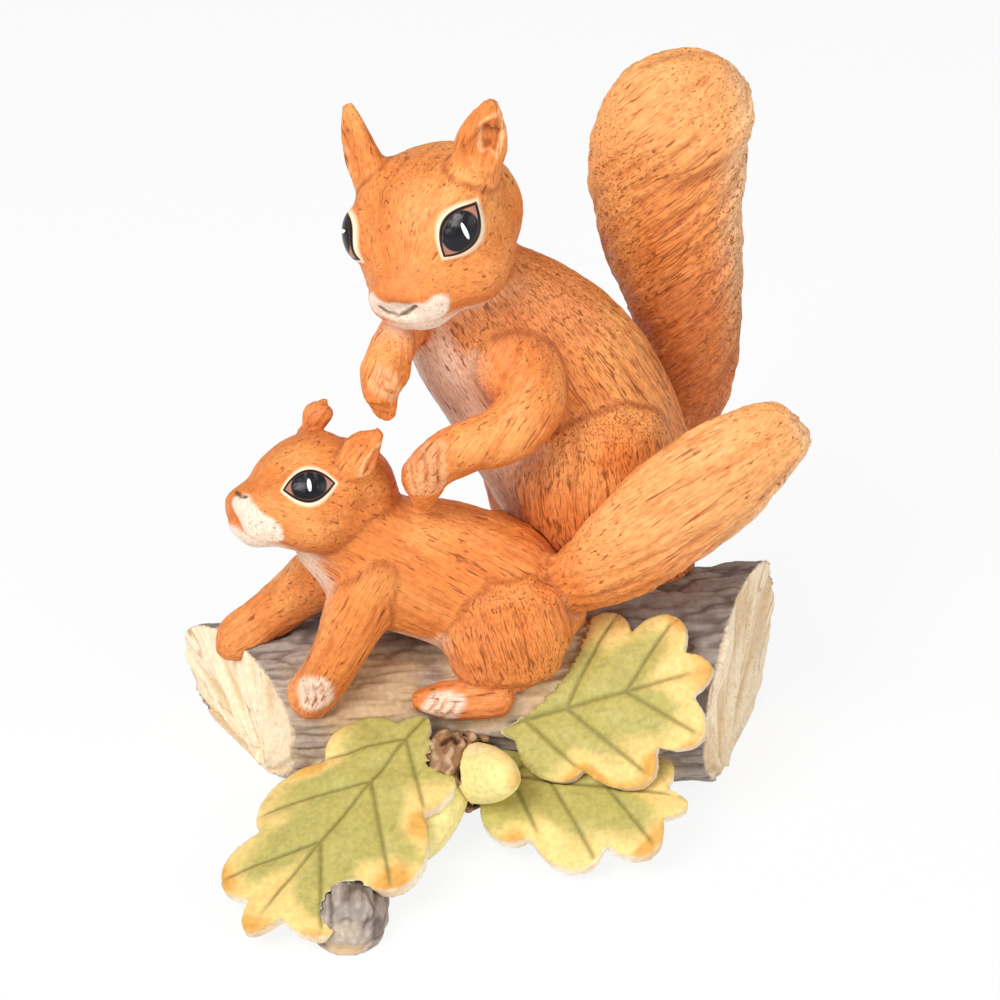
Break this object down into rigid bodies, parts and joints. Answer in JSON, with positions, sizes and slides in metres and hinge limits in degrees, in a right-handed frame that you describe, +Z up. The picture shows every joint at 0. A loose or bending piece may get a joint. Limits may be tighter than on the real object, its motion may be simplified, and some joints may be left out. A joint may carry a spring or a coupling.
{
  "type": "squirrel figurine",
  "caption": "Porcelain figurine of a seated adult squirrel with a paw on a young squirrel in front of it, on a log with oak leaves and acorns; stands on a flat underside.",
  "frame": {"origin": "middle of the log's flat underside, on the table", "axes": "+X to the viewer's right along the log, +Y away from the viewer, +Z up"},
  "size_m": [0.1239, 0.1133, 0.1438],
  "materials": {
    "fur_bisque": "matte bisque, airbrushed red-brown with brushed fur strokes",
    "bark_bisque": "matte bisque, grey-mauve bark wash, cream broken ends",
    "leaf_bisque": "matte bisque, green centre to cream and orange lobes",
    "cup_bisque": "matte bisque, brown scaled cup",
    "nut_bisque": "matte bisque, pale yellow nut"
  },
  "bodies": {
    "root": {"adult_torso": "fur_bisque", "adult_head": "fur_bisque", "adult_tail": "fur_bisque", "adult_ear_left": "fur_bisque", "adult_ear_right": "fur_bisque", "adult_arm_left": "fur_bisque", "adult_arm_right": "fur_bisque", "adult_thigh_left": "fur_bisque", "adult_thigh_right": "fur_bisque", "adult_foot_left": "fur_bisque", "adult_foot_right": "fur_bisque", "young_torso": "fur_bisque", "young_head": "fur_bisque", "young_tail": "fur_bisque", "young_ear_left": "fur_bisque", "young_ear_right": "fur_bisque", "young_foreleg_left": "fur_bisque", "young_foreleg_right": "fur_bisque", "young_thigh_left": "fur_bisque", "young_thigh_right": "fur_bisque", "young_foot_left": "fur_bisque", "young_foot_right": "fur_bisque", "log_base": "bark_bisque", "branch_leg": "bark_bisque", "oak_leaf_left": "leaf_bisque", "oak_leaf_right_upper": "leaf_bisque", "oak_leaf_right_lower": "leaf_bisque", "front_acorn_cup": "cup_bisque", "rear_acorn_cup": "cup_bisque", "front_acorn_nut": "nut_bisque", "rear_acorn_nut": "nut_bisque"}
  },
  "joints": []
}
